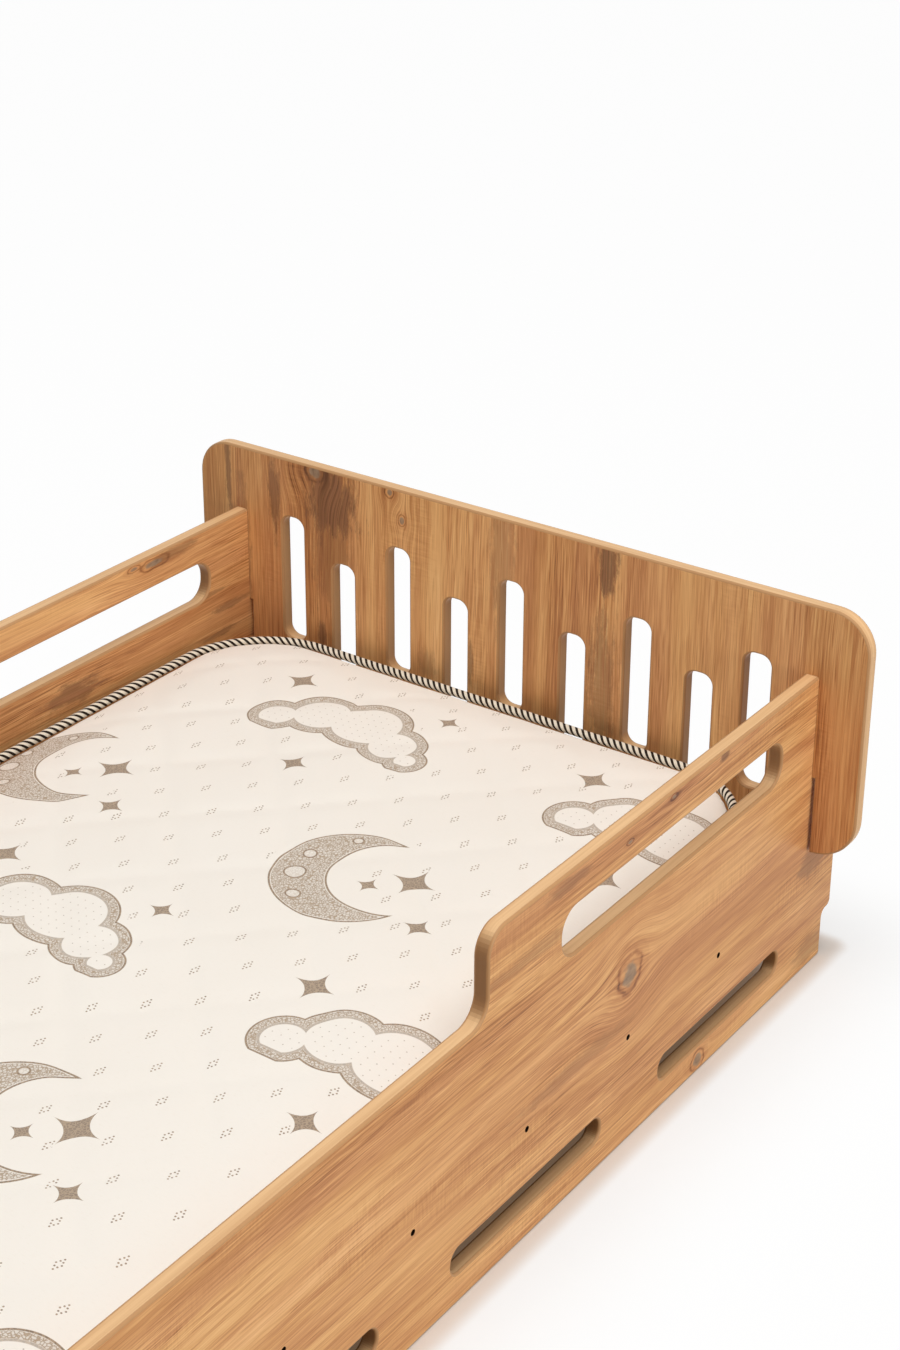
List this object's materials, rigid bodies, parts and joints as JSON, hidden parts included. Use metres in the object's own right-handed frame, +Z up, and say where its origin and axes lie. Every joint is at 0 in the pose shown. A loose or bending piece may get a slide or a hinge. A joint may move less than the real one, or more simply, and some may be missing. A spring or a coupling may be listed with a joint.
{
  "type": "floor bed",
  "caption": "Low child's floor bed of cross-lapped wood-print boards: slotted ends, head-end guards with a hand slot, slatted base, and a foam mattress with striped binding.",
  "frame": {"origin": "on the floor, under the middle of the bed's box", "axes": "+Z up, +Y towards the headboard, +X towards the right-hand side seen from the foot end"},
  "size_m": [0.975, 2.094, 0.484],
  "materials": {
    "wood_print_board": "satin foil with a warm pine print, plain tan cut edges",
    "pine_lath": "planed, bare",
    "zinc_steel": "zinc plated",
    "black_steel": "black phosphate",
    "mattress_fabric": "matt knitted cotton, printed",
    "striped_binding": "matt woven tape, slanted dark and cream stripes",
    "foam": "open-cell foam"
  },
  "bodies": {
    "root": {"headboard": "wood_print_board", "footboard": "wood_print_board", "side_panel_left": "wood_print_board", "side_panel_right": "wood_print_board", "ledger_left": "pine_lath", "ledger_right": "pine_lath", "slat_01": "pine_lath", "slat_02": "pine_lath", "slat_03": "pine_lath", "slat_04": "pine_lath", "slat_05": "pine_lath", "slat_06": "pine_lath", "slat_07": "pine_lath", "slat_08": "pine_lath", "slat_09": "pine_lath", "slat_10": "pine_lath", "slat_11": "pine_lath", "slat_12": "pine_lath", "slat_13": "pine_lath", "ledger_screws": "black_steel", "slat_screws": "zinc_steel", "mattress_core": "foam", "mattress_cover": "mattress_fabric", "mattress_top_piping": "striped_binding", "mattress_bottom_piping": "striped_binding"}
  },
  "joints": []
}
